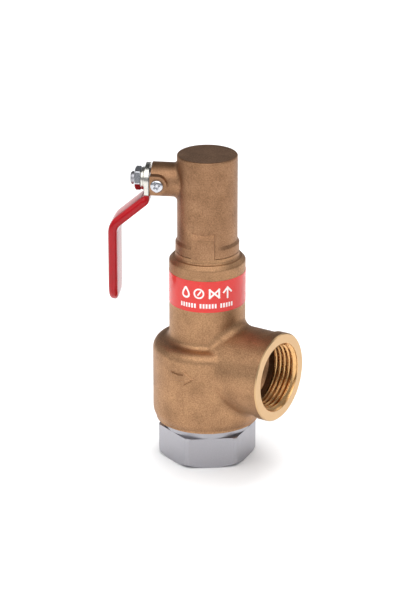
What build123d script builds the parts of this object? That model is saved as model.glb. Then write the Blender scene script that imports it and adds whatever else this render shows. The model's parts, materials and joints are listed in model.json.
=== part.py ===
from build123d import *

import os
from math import cos, pi, radians, sin, tan

# Lever-operated pressure relief valve, nominal size 25 (1 inch), in millimetres.
# Frame: origin at the centre of the inlet's bottom face, +Z up the stem, +X out of the outlet.

# ---- pipe threads, shared by inlet and outlet ----
PIPE_THREAD_R = 16.62          # wall of the Rc 1 threaded holes
PIPE_THREAD_LENGTH = 16.0

# ---- inlet piece: hexagon, collar, joining thread and nozzle ----
HEX_AF = 41.0
HEX_CORNER_R = 23.15           # turned radius of the hexagon's corners
HEX_HEIGHT = 15.1
HEX_TOP_EDGE = 0.4
HEX_TURN = 38.6                # direction of one corner, degrees from +X
INLET_COLLAR_R = 20.5
INLET_COLLAR_HEIGHT = 3.5
JOIN_THREAD_R = 18.0           # thread between inlet piece and body
JOIN_THREAD_LENGTH = 11.0
NOZZLE_R = 12.5
SEAT_BORE_R = 10.0
SEAT_LIP = 1.0                 # width of the flat sealing lip
SEAT_RISE = 16.7               # sealing lip above the body's bottom face
GASKET_THICKNESS = 0.7

# ---- body ----
BODY_R = 25.75
BODY_RIM_R = 24.3              # narrower rim at the bottom edge
BODY_RIM_HEIGHT = 1.0
BODY_FLARE_HEIGHT = 4.8        # from the rim out to the full radius
BODY_HEIGHT = 39.4             # bottom face to the shoulder's outer corner
BODY_WALL = 4.0
SHOULDER_ROUND = 5.3
SHOULDER_RISE = 1.15           # the nearly flat shoulder rises this much to the neck
NECK_R = 18.0
NECK_HEIGHT = 43.35            # shoulder's inner corner to the cap's seat
NECK_ROUND = 3.2
NECK_TOP_R = 15.0              # cap's seat at the top of the neck
NECK_STEP = 2.6                # small coved step below the cap's seat
NECK_COVE = 1.2
NECK_CHAMFER_R = 16.3          # inner edge of the chamfer below the step
NECK_CHAMFER = 1.8             # its height
NECK_EDGE_ROUND = 1.2

# ---- outlet branch ----
OUTLET_Z_ABOVE_BASE = 28.06    # outlet axis above the body's bottom face
OUTLET_REACH = 40.2            # valve axis to outlet face
BRANCH_R = 20.4
BAND_R = 21.2
BAND_WIDTH = 4.8
PASSAGE_R = 15.2
BRANCH_FILLET = 4.5            # cast round where the branch meets body and neck

# ---- cast flow arrow on the body ----
ARROW_AZIMUTH = -84.3
ARROW_LENGTH = 13.0
ARROW_WIDTH = 11.0
ARROW_SHAFT = 5.2
ARROW_RAISE = 0.8
ARROW_FOOT = 1.2               # foot of its sloping sides inside the body's surface
ARROW_SLOPE = 32.0             # of its sides, degrees off the way it is raised

# ---- disc, guide and stem ----
STEM_R = 3.5
STEM_THREAD_R = 3.0
LIFT = 2.5                     # full lift of the disc
DISC_R = 13.2
DISC_HEIGHT = 7.0
SOFT_DISC_R = 11.8
SOFT_DISC_THICKNESS = 3.0
PISTON_R = 9.0
RUNNING_CLEARANCE = 0.05       # radial, at each sliding or turning fit
GUIDE_SEAT_RISE = 44.7         # guide's seat above the body's bottom face
GUIDE_FLANGE = 2.1
GUIDE_FLANGE_R = 15.5
GUIDE_SLEEVE_R = 11.5
GUIDE_SLEEVE_LENGTH = 6.4
GUIDE_SPIGOT_HEIGHT = 3.0
BALL_R = 3.0
SOCKET_R = 5.2
STEM_FOOT_R = 5.0
STEM_FOOT_HEIGHT = 3.4
SNAP_RING_WIRE = 1.2
SNAP_RING_R = 5.8
LIFT_COLLAR_GAP = 0.6          # from the rim of the collar the cam lifts to the cam's outer end
LIFT_COLLAR_THICKNESS = 2.0
LIFT_NUT_AF = 11.0
LIFT_NUT_THICKNESS = 2.2

# ---- spring and its adjustment ----
SPRING_WIRE_R = 1.4
SPRING_MEAN_R = 10.2
SPRING_TURNS = 5.5
SPRING_SEAT_R = 13.2
SPRING_SEAT_THICKNESS = 3.0
SPRING_SPIGOT_HEIGHT = 3.0
SPRING_CHAMBER_R = 14.0
CHAMBER_ROOF = 4.7             # neck's top face above the spring chamber's roof
SPIGOT_WALL = 3.0              # between the cap's thread and the adjusting screw's
ADJUSTER_HEX_AF = 14.0
ADJUSTER_HEX_HEIGHT = 4.5
LOCK_NUT_INSET = 0.8           # lock nut's edge inside the spigot's
LOCK_NUT_HEIGHT = 4.0
SPIGOT_R = 12.0                # threaded spigot that carries the cap
SPIGOT_HEIGHT = 9.0

# ---- cap ----
CAP_R = 14.15
CAP_HEIGHT = 47.1
CAP_TOP_THICKNESS = 3.0
CAP_RING_R = 15.0
CAP_RING_HEIGHT = 4.35
CAP_RING_CHAMFER = 1.6
PAD_WIDTH = 10.7               # the two wrench pads
PAD_FACE = 15.8
PAD_HEIGHT = 10.0
PAD_SLOPE = 2.1
CAP_O_RING_WIRE_R = 0.8

# ---- lever boss on the cap ----
LEVER_AZIMUTH = 205.3          # direction of the lever shaft, degrees from +X
LEVER_AXIS_DROP = 13.2         # shaft axis below the cap's top face
BOSS_R = 8.05
BOSS_END = 25.6
BOSS_FILLET = 2.0
LUG_R = 4.5
LUG_FROM_END = 3.5             # retaining screw's axis, in from the boss's end
LUG_FACE = 10.5                # lug's face from the shaft's axis

# ---- lever shaft ----
SHAFT_R = 5.5
CAM_START = 4.3                # inner end of the cam from the valve axis
CAM_SETBACK = 2.4              # outer end of the cam inside the cap's bore
CAM_BASE_R = 2.6
CAM_ANGLE = 80.0               # degrees of lever travel
CAM_GAP = 0.15
SHOULDER_R = 4.8
LEVER_GAP = 1.0                # between boss and lever
HUB_FLAT_R = 4.0
HUB_FLATS = 6.4                # across the shaft's two flats
O_RING_WIRE_R = 0.72
O_RING_AT = 15.5
SCREW_R = 1.5
SCREW_HEAD_R = 3.0
SCREW_HEAD_HEIGHT = 1.7
SCREW_GROOVE_R = 4.0
SCREW_TIP_GAP = 0.35

# ---- lever ----
LEVER_THICKNESS = 2.0
LEVER_WIDTH = 15.0
HUB_R = 7.7
LEVER_SLOPE = 40.5             # degrees below the horizontal
LEVER_UPPER_BEND = 4.5         # bend radii of the plate's middle
LEVER_LOWER_BEND = 7.0
HUB_DROP = 8.2                 # shaft's axis to the upper bend's corner
HANDLE_OUT = 16.15             # hub plate to handle, along the shaft
HANDLE_BOTTOM = 76.4           # lowest point of the coated handle
COAT = 1.5                     # dipped coating on the handle
COAT_EDGE = 0.6                # its thin start below the hub
COAT_START = 6.3               # start of the coating below the shaft's axis
COAT_FULL = 8.8                # full thickness from here down

# ---- lever fastening ----
STUD_R = 3.0
THREAD_CLEARANCE = 0.02
WASHER_R = 5.9
WASHER_THICKNESS = 0.7
SPRING_WASHER_R = 5.4
SPRING_WASHER_THICKNESS = 1.4
NUT_AF = 10.0
NUT_HEIGHT = 3.1
NUT_TILT = 19.5                # turn of the nut's flat as tightened
STUD_PROUD = 2.1

# ---- label ----
LABEL_THICKNESS = 0.12
LABEL_HEIGHT = 15.4
LABEL_BELOW_TOP = 9.5
LABEL_GAP_ANGLE = 6.0          # open seam at the back

# ---- levels up the valve's axis ----
body_base = HEX_HEIGHT + INLET_COLLAR_HEIGHT + GASKET_THICKNESS
seat_z = body_base + SEAT_RISE
shoulder_z = body_base + BODY_HEIGHT
neck_corner_z = shoulder_z + SHOULDER_RISE
neck_top = neck_corner_z + NECK_HEIGHT
outlet_z = body_base + OUTLET_Z_ABOVE_BASE
guide_seat_z = body_base + GUIDE_SEAT_RISE
guide_top = guide_seat_z + GUIDE_SPIGOT_HEIGHT
piston_top = guide_top - 0.5
ball_z = seat_z + DISC_HEIGHT + 7.0 + BALL_R
stem_foot_z = ball_z + 0.75 * BALL_R
lower_seat_z = guide_top + 2.5
spring_bottom = lower_seat_z + SPRING_SEAT_THICKNESS
chamber_roof = neck_top - CHAMBER_ROOF
spring_top = chamber_roof - 4.0
adjuster_bottom = spring_top + SPRING_SEAT_THICKNESS - 0.2
spigot_top = neck_top + SPIGOT_HEIGHT
adjuster_top = spigot_top + LOCK_NUT_HEIGHT + ADJUSTER_HEX_HEIGHT
cap_top = neck_top + CAP_HEIGHT
lever_axis_z = cap_top - LEVER_AXIS_DROP
cavity_top = cap_top - CAP_TOP_THICKNESS
lift_collar_z = lever_axis_z + CAM_BASE_R + CAM_GAP
stem_top = lift_collar_z + LIFT_COLLAR_THICKNESS + LIFT_NUT_THICKNESS + 0.25

# ---- radii that follow the spigot's ----
adjuster_r = SPIGOT_R - SPIGOT_WALL
lock_nut_r = SPIGOT_R - LOCK_NUT_INSET

# ---- stack along the lever shaft, from the valve's axis ----
cam_end = SPIGOT_R - CAM_SETBACK
lift_collar_r = cam_end - LIFT_COLLAR_GAP
hub_inner = BOSS_END + LEVER_GAP
hub_outer = hub_inner + LEVER_THICKNESS
washer_outer = hub_outer + WASHER_THICKNESS
spring_washer_outer = washer_outer + SPRING_WASHER_THICKNESS
nut_outer = spring_washer_outer + NUT_HEIGHT
stud_end = nut_outer + STUD_PROUD
lug_at = BOSS_END - LUG_FROM_END

out = Vector(cos(radians(LEVER_AZIMUTH)), sin(radians(LEVER_AZIMUTH)), 0)     # along the shaft
side = Vector(-sin(radians(LEVER_AZIMUTH)), cos(radians(LEVER_AZIMUTH)), 0)   # across it
up = Vector(0, 0, 1)


def across_shaft(distance):
    """Plane square to the lever shaft at that distance: local x across, local y up, normal outwards."""
    return Plane(origin=out * distance + up * lever_axis_z, x_dir=side, z_dir=out)


def along_shaft():
    """Upright plane through the valve's axis and the shaft: local x along the shaft, local y is height."""
    return Plane(origin=(0, 0, 0), x_dir=out, z_dir=-side)


def beside_shaft(distance):
    """Plane facing the retaining screw, that far from the shaft's axis: local x inwards, local y up."""
    return Plane(origin=out * lug_at + side * distance + up * lever_axis_z, x_dir=-out, z_dir=side)


def turned(points):
    """A solid of revolution about the valve's axis from (radius, height) points."""
    with BuildPart() as solid:
        with BuildSketch(Plane.XZ):
            with BuildLine():
                Polyline(*points, close=True)
            make_face()
        revolve(axis=Axis.Z)
    return solid.part


def tube(inner, outer, bottom, top):
    """A plain ring about the valve's axis; an inner radius of 0 makes a disc."""
    return turned([(inner, bottom), (outer, bottom), (outer, top), (inner, top)])


def at_point(shape_list, point):
    """The one vertex or edge of a list that lies nearest a point."""
    return shape_list.sort_by_distance(point)[0]


def make_inlet_seat():
    thread_top = body_base + JOIN_THREAD_LENGTH
    chamfer_rise = (HEX_CORNER_R - HEX_AF / 2) * tan(radians(30))
    with BuildPart() as inlet:
        with BuildSketch():
            RegularPolygon(HEX_AF / 2, 6, major_radius=False, rotation=HEX_TURN)
        extrude(amount=HEX_HEIGHT)
        with BuildSketch(Plane.XZ):
            with BuildLine():
                Polyline(
                    (0, 0),
                    (HEX_AF / 2, 0),
                    (HEX_CORNER_R, chamfer_rise),
                    (HEX_CORNER_R, HEX_HEIGHT - HEX_TOP_EDGE),
                    (HEX_CORNER_R - HEX_TOP_EDGE, HEX_HEIGHT),
                    (0, HEX_HEIGHT),
                    close=True,
                )
            make_face()
        revolve(axis=Axis.Z, mode=Mode.INTERSECT)
        with BuildSketch(Plane.XZ):
            with BuildLine():
                Polyline(
                    (0, HEX_HEIGHT),
                    (INLET_COLLAR_R, HEX_HEIGHT),
                    (INLET_COLLAR_R, HEX_HEIGHT + INLET_COLLAR_HEIGHT - 0.3),
                    (INLET_COLLAR_R - 0.3, HEX_HEIGHT + INLET_COLLAR_HEIGHT),
                    (JOIN_THREAD_R, HEX_HEIGHT + INLET_COLLAR_HEIGHT),
                    (JOIN_THREAD_R, thread_top - 1),
                    (JOIN_THREAD_R - 1, thread_top),
                    (NOZZLE_R, thread_top),
                    (NOZZLE_R, seat_z - 1.2),
                    (SEAT_BORE_R + SEAT_LIP, seat_z),
                    (0, seat_z),
                    close=True,
                )
            make_face()
        revolve(axis=Axis.Z)
        with BuildSketch(Plane.XZ):
            with BuildLine():
                Polyline(
                    (0, 0),
                    (PIPE_THREAD_R, 0),
                    (PIPE_THREAD_R, PIPE_THREAD_LENGTH),
                    (SEAT_BORE_R, PIPE_THREAD_LENGTH + 5),
                    (SEAT_BORE_R, seat_z),
                    (0, seat_z),
                    close=True,
                )
            make_face()
        revolve(axis=Axis.Z, mode=Mode.SUBTRACT)
    return inlet.part


def make_body_gasket():
    bottom = HEX_HEIGHT + INLET_COLLAR_HEIGHT
    return tube(JOIN_THREAD_R + 0.1, INLET_COLLAR_R - 0.6, bottom, bottom + GASKET_THICKNESS)


def make_valve_body():
    flare_bottom = body_base + BODY_RIM_HEIGHT
    flare_top = flare_bottom + BODY_FLARE_HEIGHT
    flare_run = BODY_R - BODY_RIM_R
    flare_r = (flare_run**2 + BODY_FLARE_HEIGHT**2) / (2 * flare_run)    # arc that ends upright
    step_z = neck_top - NECK_STEP
    chamfer_z = step_z - NECK_CHAMFER
    inner_r = BODY_R - BODY_WALL
    inner_corner_z = shoulder_z - 1.7 * BODY_WALL
    bore_r = GUIDE_FLANGE_R + 0.1
    with BuildPart() as body:
        with BuildSketch(Plane.XZ) as outline:
            with BuildLine():
                Polyline(
                    (0, body_base),
                    (BODY_RIM_R, body_base),
                    (BODY_RIM_R, flare_bottom),
                )
                RadiusArc((BODY_RIM_R, flare_bottom), (BODY_R, flare_top), -flare_r)
                Polyline(
                    (BODY_R, flare_top),
                    (BODY_R, shoulder_z),
                    (NECK_R, neck_corner_z),
                    (NECK_R, chamfer_z),
                    (NECK_CHAMFER_R, step_z),
                    (NECK_TOP_R, step_z),
                    (NECK_TOP_R, neck_top),
                    (SPIGOT_R, neck_top),
                    (SPIGOT_R, spigot_top - 0.8),
                    (SPIGOT_R - 0.8, spigot_top),
                    (0, spigot_top),
                    (0, body_base),
                )
            make_face()
            fillet(at_point(outline.vertices(), (BODY_R, shoulder_z)), SHOULDER_ROUND)
            fillet(at_point(outline.vertices(), (NECK_R, neck_corner_z)), NECK_ROUND)
            fillet(at_point(outline.vertices(), (NECK_R, chamfer_z)), NECK_EDGE_ROUND)
            fillet(at_point(outline.vertices(), (NECK_TOP_R, step_z)), NECK_COVE)
        revolve(axis=Axis.Z)
        with BuildSketch(Plane.XZ):
            with BuildLine():
                Polyline(
                    (0, outlet_z),
                    (0, outlet_z + BRANCH_R),
                    (OUTLET_REACH - BAND_WIDTH, outlet_z + BRANCH_R),
                    (OUTLET_REACH - BAND_WIDTH, outlet_z + BAND_R),
                    (OUTLET_REACH - 0.5, outlet_z + BAND_R),
                    (OUTLET_REACH, outlet_z + BAND_R - 0.5),
                    (OUTLET_REACH, outlet_z),
                    close=True,
                )
            make_face()
        revolve(axis=Axis((0, 0, outlet_z), (1, 0, 0)))
        fillet(body.edges().filter_by(GeomType.BSPLINE), BRANCH_FILLET)
        add(make_flow_arrow())
        with BuildSketch(Plane.XZ):
            with BuildLine():
                Polyline(
                    (0, body_base),
                    (JOIN_THREAD_R + THREAD_CLEARANCE, body_base),
                    (JOIN_THREAD_R + THREAD_CLEARANCE, body_base + JOIN_THREAD_LENGTH + 0.6),
                    (inner_r, body_base + JOIN_THREAD_LENGTH + 3),
                    (inner_r, inner_corner_z),
                    (bore_r, inner_corner_z + inner_r - bore_r),
                    (bore_r, guide_seat_z),
                    (SPRING_CHAMBER_R, guide_seat_z),
                    (SPRING_CHAMBER_R, chamber_roof),
                    (adjuster_r + THREAD_CLEARANCE, chamber_roof),
                    (adjuster_r + THREAD_CLEARANCE, spigot_top),
                    (0, spigot_top),
                    close=True,
                )
            make_face()
        revolve(axis=Axis.Z, mode=Mode.SUBTRACT)
        with BuildSketch(Plane.XZ):
            with BuildLine():
                Polyline(
                    (BODY_WALL * 3, outlet_z),
                    (BODY_WALL * 3, outlet_z + PASSAGE_R),
                    (OUTLET_REACH - PIPE_THREAD_LENGTH - 2, outlet_z + PASSAGE_R),
                    (OUTLET_REACH - PIPE_THREAD_LENGTH, outlet_z + PIPE_THREAD_R),
                    (OUTLET_REACH, outlet_z + PIPE_THREAD_R),
                    (OUTLET_REACH, outlet_z),
                    close=True,
                )
            make_face()
        revolve(axis=Axis((0, 0, outlet_z), (1, 0, 0)), mode=Mode.SUBTRACT)
    return body.part


def make_flow_arrow():
    """Raised arrow on the body's round side that points the way the outlet faces."""
    facing = Vector(cos(radians(ARROW_AZIMUTH)), sin(radians(ARROW_AZIMUTH)), 0)
    foot = Plane(
        origin=facing * (BODY_R - ARROW_FOOT) + up * outlet_z,
        x_dir=up.cross(facing),
        z_dir=facing,
    )
    tip = ARROW_LENGTH / 2
    neck = tip - ARROW_WIDTH * 0.6
    with BuildPart() as arrow:
        with BuildSketch(foot):
            with BuildLine():
                Polyline(
                    (-tip, -ARROW_SHAFT / 2),
                    (neck, -ARROW_SHAFT / 2),
                    (neck, -ARROW_WIDTH / 2),
                    (tip, 0),
                    (neck, ARROW_WIDTH / 2),
                    (neck, ARROW_SHAFT / 2),
                    (-tip, ARROW_SHAFT / 2),
                    close=True,
                )
            make_face()
        extrude(amount=2 * ARROW_RAISE + ARROW_FOOT, taper=ARROW_SLOPE)
        with Locations((0, 0, outlet_z)):
            Cylinder(BODY_R + ARROW_RAISE, 2 * ARROW_WIDTH, mode=Mode.INTERSECT)
    return arrow.part


def make_disc_guide():
    bore = PISTON_R + RUNNING_CLEARANCE
    flange_bottom = guide_seat_z - GUIDE_FLANGE
    return turned([
        (bore, flange_bottom - GUIDE_SLEEVE_LENGTH),
        (GUIDE_SLEEVE_R, flange_bottom - GUIDE_SLEEVE_LENGTH),
        (GUIDE_SLEEVE_R, flange_bottom),
        (GUIDE_FLANGE_R, flange_bottom),
        (GUIDE_FLANGE_R, guide_seat_z),
        (SPRING_CHAMBER_R - THREAD_CLEARANCE, guide_seat_z),
        (SPRING_CHAMBER_R - THREAD_CLEARANCE, guide_top),
        (bore, guide_top),
    ])


def make_disc_holder():
    disc_top = seat_z + DISC_HEIGHT
    soft_top = seat_z + SOFT_DISC_THICKNESS
    socket_bottom = ball_z - BALL_R
    groove_bottom = stem_foot_z + STEM_FOOT_HEIGHT
    groove_top = groove_bottom + SNAP_RING_WIRE
    screw_depth = soft_top + 3.2
    return turned([
        (0, screw_depth),
        (SCREW_R + THREAD_CLEARANCE, screw_depth),
        (SCREW_R + THREAD_CLEARANCE, soft_top),
        (SOFT_DISC_R + THREAD_CLEARANCE, soft_top),
        (SOFT_DISC_R + THREAD_CLEARANCE, seat_z + 0.8),
        (DISC_R, seat_z + 0.8),
        (DISC_R, disc_top - 2),
        (DISC_R - 2, disc_top),
        (PISTON_R, disc_top),
        (PISTON_R, piston_top - 0.5),
        (PISTON_R - 0.5, piston_top),
        (SOCKET_R, piston_top),
        (SOCKET_R, groove_top),
        (SNAP_RING_R, groove_top),
        (SNAP_RING_R, groove_bottom),
        (SOCKET_R, groove_bottom),
        (SOCKET_R, socket_bottom),
        (0, socket_bottom),
    ])


def make_seat_disc():
    return turned([
        (SCREW_R + 0.1, seat_z),
        (SOFT_DISC_R, seat_z),
        (SOFT_DISC_R, seat_z + SOFT_DISC_THICKNESS),
        (SCREW_R + 0.1, seat_z + SOFT_DISC_THICKNESS),
    ])


def make_seat_retainer():
    return tube(SCREW_R + 0.1, SEAT_BORE_R - 2.5, seat_z - 1, seat_z)


def make_seat_screw():
    head_bottom = seat_z - 1 - SCREW_HEAD_HEIGHT
    with BuildPart() as screw:
        with BuildSketch(Plane.XZ):
            with BuildLine():
                Polyline(
                    (0, head_bottom),
                    (SCREW_HEAD_R, head_bottom),
                    (SCREW_HEAD_R, seat_z - 1),
                    (SCREW_R, seat_z - 1),
                    (SCREW_R, seat_z + SOFT_DISC_THICKNESS + 2.6),
                    (0, seat_z + SOFT_DISC_THICKNESS + 3),
                    close=True,
                )
            make_face()
        revolve(axis=Axis.Z)
        with BuildSketch(Plane.XY.offset(head_bottom)):
            Rectangle(2 * SCREW_HEAD_R, 0.8)
        extrude(amount=0.9, mode=Mode.SUBTRACT)
    return screw.part


def make_pivot_ball():
    with BuildPart() as ball:
        with Locations((0, 0, ball_z)):
            Sphere(BALL_R)
    return ball.part


def make_stem():
    foot_top = stem_foot_z + STEM_FOOT_HEIGHT - 0.1
    shoulder_r = STEM_R + 3
    with BuildPart() as stem:
        with BuildSketch(Plane.XZ):
            with BuildLine():
                Polyline(
                    (0, stem_foot_z),
                    (STEM_FOOT_R, stem_foot_z),
                    (STEM_FOOT_R, foot_top),
                    (STEM_R, foot_top),
                    (STEM_R, guide_top + 0.3),
                    (shoulder_r, guide_top + 0.3),
                    (shoulder_r, lower_seat_z),
                    (STEM_R, lower_seat_z),
                    (STEM_R, lift_collar_z),
                    (STEM_THREAD_R, lift_collar_z),
                    (STEM_THREAD_R, stem_top - 0.5),
                    (STEM_THREAD_R - 0.5, stem_top),
                    (0, stem_top),
                    close=True,
                )
            make_face()
        revolve(axis=Axis.Z)
        with Locations((0, 0, ball_z)):
            Sphere(BALL_R + THREAD_CLEARANCE, mode=Mode.SUBTRACT)
    return stem.part


def make_stem_snap_ring():
    bottom = stem_foot_z + STEM_FOOT_HEIGHT
    with BuildPart() as ring:
        with BuildSketch(Plane.XY.offset(bottom)):
            Circle(SNAP_RING_R - THREAD_CLEARANCE)
            Circle(SNAP_RING_R - 1.5, mode=Mode.SUBTRACT)
            with Locations((SNAP_RING_R, 0)):
                Rectangle(4, 2.5, mode=Mode.SUBTRACT)
        extrude(amount=SNAP_RING_WIRE - 0.1)
    return ring.part


def make_lower_spring_seat():
    bore = STEM_R + THREAD_CLEARANCE
    spigot_r = SPRING_MEAN_R - SPRING_WIRE_R - 0.4
    return turned([
        (bore, lower_seat_z),
        (SPRING_SEAT_R, lower_seat_z),
        (SPRING_SEAT_R, spring_bottom),
        (spigot_r, spring_bottom),
        (spigot_r - 0.5, spring_bottom + SPRING_SPIGOT_HEIGHT),
        (bore, spring_bottom + SPRING_SPIGOT_HEIGHT),
    ])


def make_upper_spring_seat():
    bore = STEM_R + 0.5
    spigot_r = SPRING_MEAN_R - SPRING_WIRE_R - 0.4
    return turned([
        (bore, spring_top - SPRING_SPIGOT_HEIGHT),
        (spigot_r - 0.5, spring_top - SPRING_SPIGOT_HEIGHT),
        (spigot_r, spring_top),
        (SPRING_SEAT_R, spring_top),
        (SPRING_SEAT_R, adjuster_bottom),
        (bore, adjuster_bottom),
    ])


def make_spring():
    length = spring_top - spring_bottom
    pitch = (length - SPRING_WIRE_R) / SPRING_TURNS
    with BuildPart() as spring:
        with BuildLine() as coil:
            Helix(
                pitch=pitch,
                height=length - SPRING_WIRE_R,
                radius=SPRING_MEAN_R,
                center=(0, 0, spring_bottom + SPRING_WIRE_R / 2),
            )
        with BuildSketch(Plane(origin=coil.line @ 0, z_dir=coil.line % 0)):
            Circle(SPRING_WIRE_R)
        sweep(is_frenet=True)
        with Locations((0, 0, (spring_bottom + spring_top) / 2)):
            Cylinder(2 * SPRING_MEAN_R, length, mode=Mode.INTERSECT)
    return spring.part


def make_adjusting_screw():
    hex_bottom = adjuster_top - ADJUSTER_HEX_HEIGHT
    with BuildPart() as screw:
        with BuildSketch(Plane.XY.offset(adjuster_bottom)):
            Circle(adjuster_r)
        extrude(amount=hex_bottom - adjuster_bottom)
        with BuildSketch(Plane.XY.offset(hex_bottom)):
            RegularPolygon(ADJUSTER_HEX_AF / 2, 6, major_radius=False)
        extrude(amount=ADJUSTER_HEX_HEIGHT)
        with BuildSketch(Plane.XY.offset(adjuster_bottom)):
            Circle(STEM_R + 0.5)
        extrude(amount=adjuster_top - adjuster_bottom, mode=Mode.SUBTRACT)
    return screw.part


def make_lock_nut():
    with BuildPart() as nut:
        with BuildSketch(Plane.XY.offset(spigot_top)):
            Circle(lock_nut_r)
            Circle(adjuster_r + THREAD_CLEARANCE, mode=Mode.SUBTRACT)
            with PolarLocations(lock_nut_r, 4):
                Rectangle(1.6, 3, mode=Mode.SUBTRACT)
        extrude(amount=LOCK_NUT_HEIGHT)
    return nut.part


def make_cap():
    ring_top = neck_top + CAP_RING_HEIGHT
    bore_r = SPIGOT_R + THREAD_CLEARANCE
    ring_seat_r = SPIGOT_R + 2 * CAP_O_RING_WIRE_R
    pad_top = neck_top + PAD_HEIGHT
    with BuildPart() as cap:
        with BuildSketch(Plane.XZ) as outline:
            with BuildLine():
                Polyline(
                    (0, neck_top),
                    (CAP_RING_R - 0.35, neck_top),
                    (CAP_RING_R, neck_top + 0.35),
                    (CAP_RING_R, ring_top),
                    (CAP_R, ring_top + CAP_RING_CHAMFER),
                    (CAP_R, cap_top),
                    (0, cap_top),
                    close=True,
                )
            make_face()
            fillet(at_point(outline.vertices(), (CAP_R, cap_top)), 0.8)
        revolve(axis=Axis.Z)
        with BuildSketch(across_shaft(0)) as pads:
            with BuildLine():
                Polyline(
                    (-PAD_FACE, neck_top + 0.35 - lever_axis_z),
                    (PAD_FACE, neck_top + 0.35 - lever_axis_z),
                    (PAD_FACE, pad_top - lever_axis_z),
                    (CAP_R - 0.5, pad_top + PAD_SLOPE - lever_axis_z),
                    (-CAP_R + 0.5, pad_top + PAD_SLOPE - lever_axis_z),
                    (-PAD_FACE, pad_top - lever_axis_z),
                    close=True,
                )
            make_face()
        extrude(amount=PAD_WIDTH / 2, both=True)
        with BuildSketch(across_shaft(0)):
            Circle(BOSS_R)
        extrude(amount=BOSS_END)
        boss_root = cap.edges(Select.LAST).filter_by(GeomType.BSPLINE)
        fillet(boss_root, BOSS_FILLET)
        with BuildSketch(beside_shaft(0)):
            Circle(LUG_R)
            with Locations((-LUG_FROM_END / 2, 0)):
                Rectangle(LUG_FROM_END, 2 * LUG_R)
            with Locations((LUG_R - LUG_FROM_END, 0)):
                Rectangle(2 * LUG_R, 2 * LUG_R, mode=Mode.INTERSECT)
        extrude(amount=LUG_FACE)
        with BuildSketch(Plane.XZ):
            with BuildLine():
                Polyline(
                    (0, neck_top),
                    (ring_seat_r, neck_top),
                    (ring_seat_r, neck_top + 2 * CAP_O_RING_WIRE_R),
                    (bore_r, neck_top + 2 * CAP_O_RING_WIRE_R),
                    (bore_r, cavity_top),
                    (0, cavity_top),
                    close=True,
                )
            make_face()
        revolve(axis=Axis.Z, mode=Mode.SUBTRACT)
        with BuildSketch(across_shaft(cam_end)):
            Circle(SHAFT_R + RUNNING_CLEARANCE)
        extrude(amount=BOSS_END - cam_end, mode=Mode.SUBTRACT)
        with BuildSketch(beside_shaft(LUG_FACE)):
            Circle(SCREW_R + THREAD_CLEARANCE)
        extrude(amount=-LUG_FACE, mode=Mode.SUBTRACT)
    return cap.part


def make_cap_o_ring():
    with BuildPart() as ring:
        with Locations((0, 0, neck_top + CAP_O_RING_WIRE_R)):
            Torus(SPIGOT_R + CAP_O_RING_WIRE_R, CAP_O_RING_WIRE_R)
    return ring.part


def cam_outline():
    """Cam that lifts a flat follower evenly with its angle, as the involute of a circle does."""
    rise = LIFT / radians(CAM_ANGLE)

    def point(angle):
        reach = CAM_BASE_R + rise * angle
        return (reach * sin(angle) + rise * cos(angle), reach * cos(angle) - rise * sin(angle))

    steps = 8
    lobe = [point(radians(CAM_ANGLE) * i / steps) for i in range(steps + 1)]
    back = radians(165)
    base = (CAM_BASE_R * sin(back), CAM_BASE_R * cos(back))
    with BuildLine() as line:
        Line((0, CAM_BASE_R), lobe[0])
        Spline(*lobe)
        Line(lobe[-1], base)
        ThreePointArc(base, (-CAM_BASE_R, 0), (0, CAM_BASE_R))
    return line.line


def make_lever_shaft():
    groove_half = SCREW_R + 0.6
    o_ring_half = O_RING_WIRE_R + 0.15
    o_ring_floor = SHAFT_R - 2 * O_RING_WIRE_R
    start = cam_end + 0.2
    with BuildPart() as shaft:
        with BuildSketch(across_shaft(CAM_START)):
            add(cam_outline())
            make_face()
        extrude(amount=start - CAM_START)
        with BuildSketch(along_shaft()) as profile:
            with BuildLine():
                Polyline(
                    (start, lever_axis_z),
                    (start, lever_axis_z + SHAFT_R),
                    (O_RING_AT - o_ring_half, lever_axis_z + SHAFT_R),
                    (O_RING_AT - o_ring_half, lever_axis_z + o_ring_floor),
                    (O_RING_AT + o_ring_half, lever_axis_z + o_ring_floor),
                    (O_RING_AT + o_ring_half, lever_axis_z + SHAFT_R),
                    (lug_at - groove_half, lever_axis_z + SHAFT_R),
                    (lug_at - groove_half, lever_axis_z + SCREW_GROOVE_R),
                    (lug_at + groove_half, lever_axis_z + SCREW_GROOVE_R),
                    (lug_at + groove_half, lever_axis_z + SHAFT_R),
                    (BOSS_END - 0.2, lever_axis_z + SHAFT_R),
                    (BOSS_END - 0.2, lever_axis_z + SHOULDER_R),
                    (hub_inner, lever_axis_z + SHOULDER_R),
                    (hub_inner, lever_axis_z + STUD_R),
                    (stud_end - 0.7, lever_axis_z + STUD_R),
                    (stud_end, lever_axis_z + STUD_R - 0.7),
                    (stud_end, lever_axis_z),
                    close=True,
                )
            make_face()
        revolve(axis=Axis((0, 0, lever_axis_z), out))
        with BuildSketch(across_shaft(hub_inner)):
            Circle(HUB_FLAT_R)
            Rectangle(2 * HUB_FLAT_R, HUB_FLATS, mode=Mode.INTERSECT)
        extrude(amount=LEVER_THICKNESS - 0.1)
    return shaft.part


def make_shaft_o_ring():
    with BuildPart() as ring:
        with Locations(across_shaft(O_RING_AT)):
            Torus(SHAFT_R - O_RING_WIRE_R, O_RING_WIRE_R)
    return ring.part


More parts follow.
